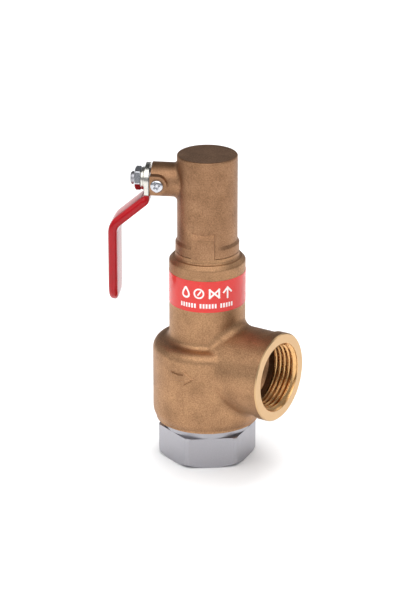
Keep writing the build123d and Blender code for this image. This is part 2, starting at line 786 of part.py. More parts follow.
def make_retaining_screw():
    tip = SCREW_GROOVE_R + SCREW_TIP_GAP
    with BuildPart() as screw:
        with BuildSketch(beside_shaft(tip)):
            Circle(SCREW_R)
        extrude(amount=LUG_FACE - tip)
        with BuildSketch(beside_shaft(LUG_FACE)):
            Circle(SCREW_HEAD_R)
        extrude(amount=SCREW_HEAD_HEIGHT)
        head_face = screw.faces().sort_by(Axis((0, 0, 0), side))[-1]
        fillet(head_face.edges(), 0.6)
        with BuildSketch(beside_shaft(LUG_FACE + SCREW_HEAD_HEIGHT)):
            Rectangle(3.6, 0.8, rotation=30)
            Rectangle(3.6, 0.8, rotation=120)
        extrude(amount=-1.1, mode=Mode.SUBTRACT)
    return screw.part


def lever_line():
    """The corners of the lever plate's middle line, from the hub down: (distance out, height)."""
    middle = (hub_inner + hub_outer) / 2
    upper = lever_axis_z - HUB_DROP
    lower = upper - HANDLE_OUT * tan(radians(LEVER_SLOPE))
    bottom = HANDLE_BOTTOM + COAT
    return [
        (middle, lever_axis_z + HUB_R),
        (middle, upper),
        (middle + HANDLE_OUT, lower),
        (middle + HANDLE_OUT, bottom),
    ]


def lever_strip(thickness, extra=0.0):
    """Side view of the bent strip at that thickness; extra lengthens it past the plate's lower end."""
    points = lever_line()
    points[-1] = (points[-1][0], points[-1][1] - extra)
    with BuildLine() as line:
        FilletPolyline(*points, radius=[LEVER_UPPER_BEND, LEVER_LOWER_BEND])
    with BuildSketch() as strip:
        trace(line.line, thickness)
    return strip.sketch


def lever_face(half_width, top):
    """Front view of the lever below a height: a band with a round lower end."""
    round_z = HANDLE_BOTTOM + COAT + LEVER_WIDTH / 2
    with BuildSketch() as face:
        with Locations((0, (top + round_z) / 2 - lever_axis_z)):
            Rectangle(2 * half_width, top - round_z)
        with Locations((0, round_z - lever_axis_z)):
            Circle(half_width)
    return face.sketch


def make_lever_plate():
    with BuildPart() as plate:
        with BuildSketch(along_shaft()):
            add(lever_strip(LEVER_THICKNESS))
        extrude(amount=LEVER_WIDTH, both=True)
        with BuildSketch(across_shaft(hub_inner - 2)):
            add(lever_face(LEVER_WIDTH / 2, lever_axis_z))
            Circle(HUB_R)
        extrude(amount=HANDLE_OUT + 10, mode=Mode.INTERSECT)
        with BuildSketch(across_shaft(hub_inner - 2)):
            Circle(HUB_FLAT_R + THREAD_CLEARANCE)
            Rectangle(2 * HUB_FLAT_R + 1, HUB_FLATS + 2 * THREAD_CLEARANCE, mode=Mode.INTERSECT)
        extrude(amount=LEVER_THICKNESS + 4, mode=Mode.SUBTRACT)
    return plate.part


def make_lever_grip():
    edge_z = lever_axis_z - COAT_START
    full_z = lever_axis_z - COAT_FULL
    with BuildPart() as grip:
        with BuildSketch(along_shaft()):
            add(lever_strip(LEVER_THICKNESS + 2 * COAT, extra=COAT))
        extrude(amount=LEVER_WIDTH, both=True)
        with BuildSketch(across_shaft(hub_inner - 4)):
            add(lever_face(LEVER_WIDTH / 2 + COAT, full_z))
        extrude(amount=HANDLE_OUT + 16, mode=Mode.INTERSECT)
        add(make_grip_edge(edge_z, full_z))
        add(make_lever_plate(), mode=Mode.SUBTRACT)
    return grip.part


def make_grip_edge(edge_z, full_z):
    """The coating's thin upper edge, between two heights just below the hub."""
    middle_z = (edge_z + full_z) / 2 - 0.5
    with BuildPart() as edge:
        with BuildSketch(along_shaft()):
            add(lever_strip(LEVER_THICKNESS + 2 * COAT_EDGE))
        extrude(amount=LEVER_WIDTH, both=True)
        with BuildSketch(across_shaft(hub_inner - 4)):
            with Locations((0, middle_z - lever_axis_z)):
                Rectangle(LEVER_WIDTH + 2 * COAT_EDGE, edge_z - full_z + 1)
        extrude(amount=12, mode=Mode.INTERSECT)
    return edge.part


def shaft_ring(inner, outer, start, end):
    """A plain ring about the lever shaft, between two distances along it."""
    with BuildPart() as ring:
        with BuildSketch(across_shaft(start)):
            Circle(outer)
            Circle(inner, mode=Mode.SUBTRACT)
        extrude(amount=end - start)
    return ring.part


def make_plain_washer():
    return shaft_ring(STUD_R + 0.2, WASHER_R, hub_outer, washer_outer)


def make_spring_washer():
    with BuildPart() as washer:
        add(shaft_ring(STUD_R + 0.1, SPRING_WASHER_R, washer_outer, spring_washer_outer))
        with BuildSketch(across_shaft(washer_outer)):
            with Locations((0, -SPRING_WASHER_R)):
                Rectangle(0.9, SPRING_WASHER_R, rotation=12)
        extrude(amount=SPRING_WASHER_THICKNESS, mode=Mode.SUBTRACT)
    return washer.part


def make_lever_nut():
    corner_r = NUT_AF / 2 / cos(pi / 6)
    chamfer_run = (corner_r - NUT_AF / 2) * tan(radians(30))
    with BuildPart() as nut:
        with BuildSketch(across_shaft(spring_washer_outer)):
            RegularPolygon(NUT_AF / 2, 6, major_radius=False, rotation=NUT_TILT + 30)
        extrude(amount=NUT_HEIGHT)
        with BuildSketch(along_shaft()):
            with BuildLine():
                Polyline(
                    (spring_washer_outer, lever_axis_z),
                    (spring_washer_outer, lever_axis_z + NUT_AF / 2),
                    (spring_washer_outer + chamfer_run, lever_axis_z + corner_r),
                    (nut_outer - chamfer_run, lever_axis_z + corner_r),
                    (nut_outer, lever_axis_z + NUT_AF / 2),
                    (nut_outer, lever_axis_z),
                    close=True,
                )
            make_face()
        revolve(axis=Axis((0, 0, lever_axis_z), out), mode=Mode.INTERSECT)
        with BuildSketch(across_shaft(spring_washer_outer)):
            Circle(STUD_R + THREAD_CLEARANCE)
        extrude(amount=NUT_HEIGHT, mode=Mode.SUBTRACT)
    return nut.part


def make_lift_collar():
    return tube(
        STEM_THREAD_R + THREAD_CLEARANCE,
        lift_collar_r,
        lift_collar_z,
        lift_collar_z + LIFT_COLLAR_THICKNESS,
    )


def make_lift_nut():
    bottom = lift_collar_z + LIFT_COLLAR_THICKNESS
    with BuildPart() as nut:
        with BuildSketch(Plane.XY.offset(bottom)):
            RegularPolygon(LIFT_NUT_AF / 2, 6, major_radius=False)
            Circle(STEM_THREAD_R + THREAD_CLEARANCE, mode=Mode.SUBTRACT)
        extrude(amount=LIFT_NUT_THICKNESS)
    return nut.part


def make_label_band():
    top = neck_top - LABEL_BELOW_TOP
    with BuildPart() as label:
        with BuildSketch(Plane.XZ):
            with Locations((NECK_R + LABEL_THICKNESS / 2, top - LABEL_HEIGHT / 2)):
                Rectangle(LABEL_THICKNESS, LABEL_HEIGHT)
        revolve(axis=Axis.Z, revolution_arc=360 - LABEL_GAP_ANGLE)
    return label.part.rotate(Axis.Z, 118)


PIECES = {
    "inlet_seat": make_inlet_seat,
    "body_gasket": make_body_gasket,
    "valve_body": make_valve_body,
    "disc_guide": make_disc_guide,
    "disc_holder": make_disc_holder,
    "seat_disc": make_seat_disc,
    "seat_retainer": make_seat_retainer,
    "seat_screw": make_seat_screw,
    "pivot_ball": make_pivot_ball,
    "stem": make_stem,
    "stem_snap_ring": make_stem_snap_ring,
    "lower_spring_seat": make_lower_spring_seat,
    "spring": make_spring,
    "upper_spring_seat": make_upper_spring_seat,
    "adjusting_screw": make_adjusting_screw,
    "lock_nut": make_lock_nut,
    "cap": make_cap,
    "cap_o_ring": make_cap_o_ring,
    "lever_shaft": make_lever_shaft,
    "shaft_o_ring": make_shaft_o_ring,
    "retaining_screw": make_retaining_screw,
    "lever_plate": make_lever_plate,
    "lever_grip": make_lever_grip,
    "plain_washer": make_plain_washer,
    "spring_washer": make_spring_washer,
    "lever_nut": make_lever_nut,
    "lift_collar": make_lift_collar,
    "lift_nut": make_lift_nut,
    "label_band": make_label_band,
}

os.makedirs("parts", exist_ok=True)
for name, make in PIECES.items():
    piece = make()
    piece.label = name
    export_step(piece, f"parts/{name}.step")
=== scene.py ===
"""Looks of a lever-operated pressure relief valve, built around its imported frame.

Lengths are in metres, with MM for millimetres. +Z runs up the stem and +X out of the outlet.
"""

import json
import math

import bmesh
import bpy
import numpy as np
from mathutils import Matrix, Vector


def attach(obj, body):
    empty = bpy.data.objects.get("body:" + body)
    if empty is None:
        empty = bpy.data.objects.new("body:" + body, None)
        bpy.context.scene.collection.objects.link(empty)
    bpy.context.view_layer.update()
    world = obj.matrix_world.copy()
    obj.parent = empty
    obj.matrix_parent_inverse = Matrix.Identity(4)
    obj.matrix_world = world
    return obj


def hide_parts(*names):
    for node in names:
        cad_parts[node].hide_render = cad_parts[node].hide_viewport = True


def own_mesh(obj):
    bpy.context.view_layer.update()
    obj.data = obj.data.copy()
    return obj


MM = 0.001
TAU = 2 * math.pi

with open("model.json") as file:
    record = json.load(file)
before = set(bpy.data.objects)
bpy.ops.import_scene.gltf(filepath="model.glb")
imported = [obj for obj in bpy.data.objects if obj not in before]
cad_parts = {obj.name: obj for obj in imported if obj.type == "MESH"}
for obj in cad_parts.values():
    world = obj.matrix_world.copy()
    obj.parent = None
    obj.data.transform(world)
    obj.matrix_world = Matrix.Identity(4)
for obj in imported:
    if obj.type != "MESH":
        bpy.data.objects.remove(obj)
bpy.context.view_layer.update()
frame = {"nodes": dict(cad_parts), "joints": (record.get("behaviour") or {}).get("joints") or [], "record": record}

# ---- camera and studio ----
CAMERA_AZIMUTH = 33.1
CAMERA_ELEVATION = 21.65
CAMERA_DISTANCE = 1415.1 * MM
CAMERA_TARGET = Vector((-1.114, -0.726, 74.6)) * MM
CAMERA_LENS = 176.47           # on the 36 mm side of the film, which is the upright one
FLOOR_SIZE = 8.0
HORIZON_LIGHT = 0.4            # strength of the room's light up to HORIZON_TOP
HORIZON_TOP = 0.38             # sine of an elevation
ZENITH_LIGHT = 0.08            # and from ZENITH_FOOT up
ZENITH_FOOT = 0.8

# ---- outlet's end ----
OUTLET_FACING = -0.52 * MM     # lathe-faced from here out, measured from the outlet's face

# ---- threads ----
PIPE_THREAD_REACH = 13.0 * MM  # depth of the cut thread in either hole
PIPE_PITCH = 25.4 / 11 * MM    # 11 threads to the inch
PIPE_THREAD_DEPTH = 1.479 * MM
PIPE_TAPER = 1 / 32            # change of radius with depth
LINER_GAP = 0.12 * MM          # keeps a thread's roots clear of the hole's faceted wall
LEAD_IN = 1.8 * MM             # depth of the cone at the mouth
RUN_OUT_SLOPE = 0.9            # rise of the radius at the bottom, for each unit of depth
LINER_WALL = 0.05 * MM         # how far the back of the liner is sunk into the wall
STUD_PITCH = 1.0 * MM
STUD_THREAD_DEPTH = 0.5 * MM
STUD_R = 3.0 * MM

# ---- lever ----
PLATE_HALF_T = 1.0 * MM
HUB_DROP = 8.2 * MM            # shaft's axis to the corner below the hub
LEVER_SLOPE = math.radians(40.5)
LEVER_BENDS = (4.5 * MM, 7.0 * MM)
COAT_BELOW_AXIS = 6.1 * MM     # top edge of the dipped coat
COAT_EDGE = 0.45 * MM          # thickness of the coat at that edge
SKIN_GAP = 0.01 * MM           # between the plate and the coat's inside
COAT_RUN = 3.4 * MM            # from the thin edge to the full thickness
COAT_CORNER = 2.3 * MM         # round of the coat over the plate's edges

# ---- fasteners ----
NUT_AF = 10.0 * MM
NUT_TURN = math.radians(19.5)
NUT_BORE_R = STUD_R + 0.02 * MM
NUT_CORNER_CUT = 0.12 * MM     # taken off the hexagon's sharp corners
NUT_FACE_INSET = 0.2 * MM      # radius of the end face inside the flats
NUT_SOFTNESS = 0.12 * MM       # how gently flats and end cones meet
PLAIN_WASHER_BORE_R = 3.2 * MM
SPLIT_WASHER_BORE_R = 3.1 * MM
SPLIT_WASHER_OPENING = 9.5     # degrees
WASHER_START = math.radians(110)  # where the opening lies, back from the screw's side
SCREW_HEAD_HEIGHT = 1.7 * MM
SCREW_SHANK_R = 1.5 * MM
RECESS_TURN = math.radians(30)
RECESS_HALF_WIDTH = 0.42 * MM
RECESS_REACH = 1.75 * MM
RECESS_DEPTH = 1.1 * MM

# ---- spring ----
SPRING_WIRE_R = 1.4 * MM
SPRING_MEAN_R = 10.2 * MM
SPRING_FOOT = 3.0 * MM         # spring's lower end above the bottom of its seat
SPRING_HEAD = 2.8 * MM         # spring's upper end below the top of its seat
SPRING_ACTIVE_TURNS = 4.0
SPRING_END_TURNS = 0.95        # closed turn at each end
CLOSED_PITCH = 2.04 * SPRING_WIRE_R

# ---- printed label ----
PRINT_LIFT = 0.03 * MM         # ink above the film

# ---- directions and places read from the frame ----
lever_turn = next(j for j in frame["joints"] if j["name"] == "lever_turn")
UP = np.array([0.0, 0.0, 1.0])
OUT = np.array(lever_turn["axis"], float)      # along the lever shaft, away from the cap
OUT /= np.linalg.norm(OUT)
SIDE = np.cross(UP, OUT)                       # across the shaft, where the retaining screw is
SHAFT_Z = lever_turn["pos_m"][2]
SHAFT_ORIGIN = UP * SHAFT_Z
mounts = {m["name"]: m for m in frame["record"]["mounts"]}


def extent(node, direction, origin=(0, 0, 0)):
    """Lowest and highest reach of a node along a direction, from an origin."""
    mesh = frame["nodes"][node].data
    points = np.empty(len(mesh.vertices) * 3, np.float32)
    mesh.vertices.foreach_get("co", points)
    reach = (points.reshape(-1, 3) - np.array(origin)) @ np.array(direction)
    return float(reach.min()), float(reach.max())


# ---------------------------------------------------------------- surfaces

def piece_from_grid(name, grid, wrap_rows=False, wrap_columns=True):
    """A mesh from a (rows, columns, xyz) grid of points, with a four-sided face between neighbours.

    A wrapped direction joins its last line of points to its first. Rows that don't wrap are closed by
    fans to the middle of the first and last row, where those rows are closed rings.
    """
    rows, columns, _ = grid.shape
    index = np.arange(rows * columns).reshape(rows, columns)
    if wrap_rows:
        index = np.vstack([index, index[:1]])
    if wrap_columns:
        index = np.hstack([index, index[:, :1]])
    quads = np.stack([index[:-1, :-1], index[:-1, 1:], index[1:, 1:], index[1:, :-1]], -1).reshape(-1, 4)
    points = grid.reshape(-1, 3)
    fans = []
    if wrap_columns and not wrap_rows:
        points = np.vstack([points, grid[0].mean(0), grid[-1].mean(0)])
        ring = np.arange(columns)
        after = np.roll(ring, -1)
        first, last = rows * columns, rows * columns + 1
        base = (rows - 1) * columns
        fans = np.vstack([
            np.stack([after, ring, np.full(columns, first)], -1),
            np.stack([base + ring, base + after, np.full(columns, last)], -1),
        ]).tolist()
    mesh = bpy.data.meshes.new(name)
    mesh.from_pydata(points.tolist(), [], quads.tolist() + fans)
    return finished_piece(name, mesh)


def finished_piece(name, mesh):
    """Links a mesh as a smooth-shaded object at the origin, its doubled points merged and faces outwards."""
    work = bmesh.new()
    work.from_mesh(mesh)
    bmesh.ops.remove_doubles(work, verts=work.verts, dist=0.0005 * MM)
    bmesh.ops.dissolve_degenerate(work, edges=work.edges, dist=0.0005 * MM)
    bmesh.ops.recalc_face_normals(work, faces=work.faces)
    work.to_mesh(mesh)
    work.free()
    mesh.polygons.foreach_set("use_smooth", [True] * len(mesh.polygons))
    piece = bpy.data.objects.new(name, mesh)
    bpy.context.scene.collection.objects.link(piece)
    return piece


def around(origin, axis, first, angle, radius, along):
    """Points at an angle from a first direction, a radius and a distance along an axis, as arrays."""
    second = np.cross(axis, first)
    ring = np.cos(angle)[..., None] * first + np.sin(angle)[..., None] * second
    return origin + radius[..., None] * ring + along[..., None] * axis


def rounded_ridge(turns, sharpness=0.93):
    """Thread outline from 0 at a root to 1 at a crest: a triangle wave with rounded tips, once each turn."""
    return 0.5 - 0.5 * np.arcsin(sharpness * np.cos(TAU * turns)) / math.asin(sharpness)


def rounded_profile(corners, radius, steps=4):
    """A closed run of (distance, radius) corners with each corner cut by a quarter-like curve.

    Between the two points one radius away from a corner the curve is a quadratic Bezier arc.
    """
    corners = np.array(corners, float)
    before, after = np.roll(corners, 1, 0), np.roll(corners, -1, 0)

    def towards(other):
        gap = other - corners
        length = np.linalg.norm(gap, axis=1, keepdims=True)
        return corners + gap / length * np.minimum(radius, length * 0.45)

    start, end = towards(before)[:, None], towards(after)[:, None]
    t = np.linspace(0, 1, steps + 1)[None, :, None]
    return ((1 - t) ** 2 * start + 2 * t * (1 - t) * corners[:, None] + t**2 * end).reshape(-1, 2)


# ---------------------------------------------------------------- pieces

def make_pipe_thread(name, mount):
    """Taper pipe thread lining a threaded hole.

    The radius at a depth is the root's radius less the taper and less the thread's ridge, whose phase
    advances by one pitch in a turn. A cone at the mouth and another at the bottom cut the crests away.
    The back of the liner is a plain cylinder sunk a little into the wall.
    """
    wall_r = mount["dims"]["r_mm"] * MM
    length = PIPE_THREAD_REACH
    axis = -np.array(mount["axis"], float)
    first = UP if abs(axis[2]) < 0.5 else np.array([1.0, 0.0, 0.0])
    depth = np.linspace(0.02 * MM, length, 112)[:, None]
    angle = np.linspace(0, TAU, 176, endpoint=False)[None, :]
    ridge = rounded_ridge(depth / PIPE_PITCH - angle / TAU)
    root_r = wall_r - LINER_GAP - depth * PIPE_TAPER
    thread_r = root_r - PIPE_THREAD_DEPTH * ridge
    lead_in_r = wall_r - depth * PIPE_THREAD_DEPTH / LEAD_IN
    run_out_r = wall_r - LINER_GAP - (length - depth) * RUN_OUT_SLOPE
    cone_r = np.minimum(np.maximum(lead_in_r, run_out_r), wall_r - LINER_GAP)
    radius = np.maximum(thread_r, cone_r)
    angles = np.broadcast_to(angle, radius.shape)
    depths = np.broadcast_to(depth, radius.shape)
    origin = np.array(mount["pos_m"], float)
    front = around(origin, axis, first, angles, radius, depths)
    back_r = np.full((2, angle.size), wall_r + LINER_WALL)
    back_at = np.array([depth[-1, 0], depth[0, 0]])[:, None].repeat(angle.size, 1)
    back = around(origin, axis, first, angles[:2], back_r, back_at)
    return piece_from_grid(name, np.vstack([front, back]), wrap_rows=True)


def make_stud_thread():
    """Thread on the stud's free end.

    The radius is the stud's less the thread's depth where there is no ridge; the ridge advances by one
    pitch in a turn, and a cone cuts it away at the end of the stud.
    """
    start = extent("lever_nut", OUT)[1] - 0.3 * MM
    end = extent("lever_shaft", OUT)[1]
    along = np.linspace(start, end - 0.12 * MM, 30)[:, None]
    angle = np.linspace(0, TAU, 72, endpoint=False)[None, :]
    ridge = rounded_ridge(along / STUD_PITCH - angle / TAU)
    chamfer_r = STUD_R - 0.5 * MM + (end - along)
    radius = np.minimum(STUD_R + 0.05 * MM - STUD_THREAD_DEPTH * (1 - ridge), chamfer_r)
    back_r = np.full((2, angle.size), STUD_R - 0.6 * MM)
    back_at = np.array([along[-1, 0], along[0, 0]])[:, None].repeat(angle.size, 1)
    radius = np.vstack([radius, back_r])
    along = np.vstack([np.broadcast_to(along, (30, angle.size)), back_at])
    angles = np.broadcast_to(angle, radius.shape)
    grid = around(SHAFT_ORIGIN, OUT, SIDE, angles, radius, along)
    return piece_from_grid("stud_thread", grid, wrap_rows=True)


def lever_path(samples=150):
    """Middle line of the bent lever from the coat's top edge to the plate's lower end.

    Straight runs joined by arcs of the bend radii, sampled evenly; gives the points and their distances along the
    line, in the upright plane through the shaft.
    """
    hub_inner = extent("lever_plate", OUT)[0]
    handle_outer = extent("lever_plate", OUT)[1]
    top_z = SHAFT_Z - COAT_BELOW_AXIS
    upper_z = SHAFT_Z - HUB_DROP
    x0, x1 = hub_inner + PLATE_HALF_T, handle_outer - PLATE_HALF_T
    lower_z = upper_z - (x1 - x0) * math.tan(LEVER_SLOPE)
    bottom_z = extent("lever_plate", UP)[0]
    corners = np.array([[x0, top_z], [x0, upper_z], [x1, lower_z], [x1, bottom_z]])
    line = [corners[0]]
    turn = math.pi / 2 - LEVER_SLOPE
    for corner, radius, sign in ((1, LEVER_BENDS[0], -1), (2, LEVER_BENDS[1], 1)):
        cut = radius * math.tan(turn / 2)
        back = corners[corner - 1] - corners[corner]
        back /= np.linalg.norm(back)
        start = corners[corner] + back * cut
        square = sign * np.array([-back[1], back[0]])
        centre = start + square * radius
        sweep = np.linspace(0, turn, 14)[:, None]
        line.extend(centre - square * radius * np.cos(sweep) - back * radius * np.sin(sweep))
    line.append(corners[3])
    line = np.array(line)
    run = np.concatenate([[0], np.cumsum(np.linalg.norm(np.diff(line, axis=0), axis=1))])
    at = np.linspace(0, run[-1], samples)
    return np.stack([np.interp(at, run, line[:, k]) for k in (0, 1)], -1), at


def quarter_round(share):
    """Height of a quarter circle, from 0 at share 0 to 1 at share 1 and beyond."""
    return np.sqrt(np.clip(1 - (1 - np.clip(share, 0, 1)) ** 2, 1e-6, 1))


def make_dipped_coat():
    """Coat of a lever dipped in liquid vinyl.

    Round the lever's middle line runs an oblong section with round corners and slightly crowned faces:
    half size less corner, times a steep smooth sign of the angle's cosine or sine, plus the corner's round.
    Its half width follows a half circle at the lower end and its half thickness a half ellipse. The coat
    thins to a wet edge at the top, and a second, inner skin follows the plate.
    """
    line, run = lever_path()
    total = run[-1]
    plate_half_w = (extent("lever_plate", SIDE)[1] - extent("lever_plate", SIDE)[0]) / 2
    coat_half_w = (extent("lever_grip", SIDE)[1] - extent("lever_grip", SIDE)[0]) / 2
    coat = coat_half_w - plate_half_w
    full_half_t = PLATE_HALF_T + coat
    direction = np.gradient(line, run, axis=0)
    direction /= np.linalg.norm(direction, axis=1, keepdims=True)
    below = coat * np.sin(np.linspace(0, math.pi / 2, 13))[1:]
    outer_line = np.vstack([line, line[-1] + direction[-1] * below[:, None]])
    outer_dir = np.vstack([direction, np.repeat(direction[-1:], len(below), 0)])
    outer_run = np.concatenate([run, total + below])

    def section(line, direction, half_w, half_t, corner, count=72, steepness=4):
        a = np.linspace(0, TAU, count, endpoint=False)[None, :]
        corner = np.minimum(corner, 0.98 * np.minimum(half_w, half_t))[:, None]
        across, through = (np.tanh(steepness * f(a)) / math.tanh(steepness) for f in (np.cos, np.sin))
        w = (half_w[:, None] - corner) * across + corner * np.cos(a)
        t = (half_t[:, None] - corner) * through + corner * np.sin(a)
        square = np.stack([-direction[:, 1], direction[:, 0]], -1)
        flat = line[:, None, :] + square[:, None, :] * t[..., None]
        return flat[..., :1] * OUT + w[..., None] * SIDE + flat[..., 1:] * UP

    rise = np.clip(outer_run / COAT_RUN, 0, 1)
    rise = rise * rise * (3 - 2 * rise)
    thin = COAT_EDGE + (coat - COAT_EDGE) * rise
    left = total + coat - outer_run
    tip = quarter_round(left / (2 * full_half_t))
    outer_w = np.minimum(plate_half_w + thin, coat_half_w * quarter_round(left / coat_half_w))
    outer_t = (PLATE_HALF_T + thin) * tip
    outer = section(outer_line, outer_dir, outer_w, outer_t, COAT_CORNER)
    inner_w = plate_half_w * quarter_round((total - run) / plate_half_w) + SKIN_GAP
    inner_t = np.full(len(line), PLATE_HALF_T + SKIN_GAP)
    inner = section(line, direction, inner_w, inner_t, 0.1 * MM)
    return piece_from_grid("dipped_coat", np.vstack([inner[::-1], outer]))


def make_hex_nut():
    """Chamfered hexagon nut on the stud.

    The radius is the smaller of the hexagon's, its corners cut a little, and of a cone at each end face.
    The two are blended by minus the logarithm of the sum of their negative exponentials.
    """
    start, end = extent("lever_nut", OUT)
    half = NUT_AF / 2
    angle = np.linspace(0, TAU, 192, endpoint=False)[None, :]
    from_flat = (angle - NUT_TURN + math.pi / 6) % (math.pi / 3) - math.pi / 6
    hexagon_r = np.minimum(half / np.cos(from_flat), half / math.cos(math.pi / 6) - NUT_CORNER_CUT)
    rows = np.linspace(0, 1, 26)
    at = start + (end - start) * (0.5 - 0.5 * np.cos(math.pi * rows))[:, None]
    edge = np.minimum(at - start, end - at)
    cone_r = half - NUT_FACE_INSET + edge * math.sqrt(3)
    nearness = sum(np.exp(-(r - half) / NUT_SOFTNESS) for r in (hexagon_r, cone_r))
    side_r = half - NUT_SOFTNESS * np.log(nearness)
    inner = np.full((2, angle.size), NUT_BORE_R)
    radius = np.vstack([side_r, inner])
    along = np.vstack([np.broadcast_to(at, side_r.shape), np.full((1, angle.size), end),
                       np.full((1, angle.size), start)])
    angles = np.broadcast_to(angle, radius.shape)
    return piece_from_grid("hex_nut", around(SHAFT_ORIGIN, OUT, SIDE, angles, radius, along), wrap_rows=True)


def make_washer(name, node, inner_r, opening=0.0):
    """Pressed ring: a rounded rectangle of distance and radius, turned about the shaft's axis.

    An opening in degrees leaves it split, as a spring washer is.
    """
    start, end = extent(node, OUT)
    outer_r = extent(node, UP, SHAFT_ORIGIN)[1]
    thickness = end - start
    ring = rounded_profile(
        [(start, inner_r), (start, outer_r), (end, outer_r), (end, inner_r)], thickness * 0.35)
    half_gap = math.radians(opening) / 2
    turn = np.linspace(half_gap, TAU - half_gap, 121) - WASHER_START
    if not opening:
        turn = turn[:-1]
    angle = np.broadcast_to(turn[:, None], (len(turn), len(ring)))
    along = np.broadcast_to(ring[:, 0], angle.shape)
    radius = np.broadcast_to(ring[:, 1], angle.shape)
    return piece_from_grid(name, around(SHAFT_ORIGIN, OUT, SIDE, angle, radius, along), wrap_rows=not opening)


def make_cross_screw():
    """Pan-head retaining screw with a cross recess.

    A profile of radius and height is turned about the screw's axis; over the head the height is lowered
    by the recess, deepest at the centre, where the nearer of the two slots' walls lets it in.
    """
    low, high = extent("retaining_screw", OUT)
    at = (low + high) / 2
    tip, top = extent("retaining_screw", SIDE)
    head_r = (extent("retaining_screw", UP)[1] - extent("retaining_screw", UP)[0]) / 2
    origin = OUT * at + UP * SHAFT_Z
    first, second = -OUT, UP
    under = top - SCREW_HEAD_HEIGHT
    dome = np.linspace(0, 1, 40) ** 0.8 * (head_r - 0.02 * MM)
    dome_drop = 0.62 * SCREW_HEAD_HEIGHT
    dome_at = top - dome_drop * (1 - np.sqrt(np.clip(1 - (dome / head_r) ** 2.6, 0, 1)))
    rim_and_shank = np.array([
        (head_r, under + 0.35 * MM),
        (head_r, under + 0.1 * MM),
        (head_r - 0.1 * MM, under),
        (SCREW_SHANK_R, under),
        (SCREW_SHANK_R, tip + 0.4 * MM),
        (SCREW_SHANK_R - 0.4 * MM, tip),
    ])
    radius = np.concatenate([dome, rim_and_shank[:, 0]])
    height = np.concatenate([dome_at, rim_and_shank[:, 1]])
    angle = np.linspace(0, TAU, 160, endpoint=False)[None, :]
    x = radius[:, None] * np.cos(angle - RECESS_TURN)
    y = radius[:, None] * np.sin(angle - RECESS_TURN)
    across, reach = np.minimum(abs(x), abs(y)), np.maximum(abs(x), abs(y))
    wall = np.clip((RECESS_HALF_WIDTH - across) / (0.16 * MM) + 0.5, 0, 1)
    cut = RECESS_DEPTH * wall * np.clip((RECESS_REACH - reach) / (RECESS_REACH * 0.55), 0, 1)
    head = (np.arange(len(radius)) < len(dome))[:, None]
    along = height[:, None] - cut * head
    r = radius[:, None]
    grid = (origin + (r * np.cos(angle))[..., None] * first + (r * np.sin(angle))[..., None] * second
            + along[..., None] * SIDE)
    return piece_from_grid("cross_screw", grid)


def spring_span():
    """Heights of the spring's lower and upper end."""
    return extent("lower_spring_seat", UP)[0] + SPRING_FOOT, extent("upper_spring_seat", UP)[1] - SPRING_HEAD


def make_coil_spring():
    """Round-wire spring with closed ends ground flat.

    The wire's centre climbs on a helix whose pitch eases from one wire thickness in the end turns to the
    open pitch between; the wire's circle is carried along it and cut flat at both seats.
    """
    bottom, top = spring_span()
    turns = SPRING_ACTIVE_TURNS + 2 * SPRING_END_TURNS
    t = np.linspace(0, turns, 720)
    share = np.clip((t - SPRING_END_TURNS) / SPRING_ACTIVE_TURNS, 0, 1)
    eased = 0.94 * share + 0.06 * share**2 * (3 - 2 * share)
    free = (top - bottom - SPRING_WIRE_R) - CLOSED_PITCH * 2 * SPRING_END_TURNS
    end_turns = np.minimum(t, SPRING_END_TURNS) + np.maximum(t - turns + SPRING_END_TURNS, 0)
    height = bottom + SPRING_WIRE_R / 2 + CLOSED_PITCH * end_turns + free * eased
    angle = TAU * t
    ring = np.linspace(0, TAU, 20, endpoint=False)[None, :]
    out_r = SPRING_MEAN_R + SPRING_WIRE_R * np.cos(ring)
    x = out_r * np.cos(angle)[:, None]
    y = out_r * np.sin(angle)[:, None]
    z = np.clip(height[:, None] + SPRING_WIRE_R * np.sin(ring), bottom, top)
    return piece_from_grid("coil_spring", np.stack([x, y, np.broadcast_to(z, x.shape)], -1))


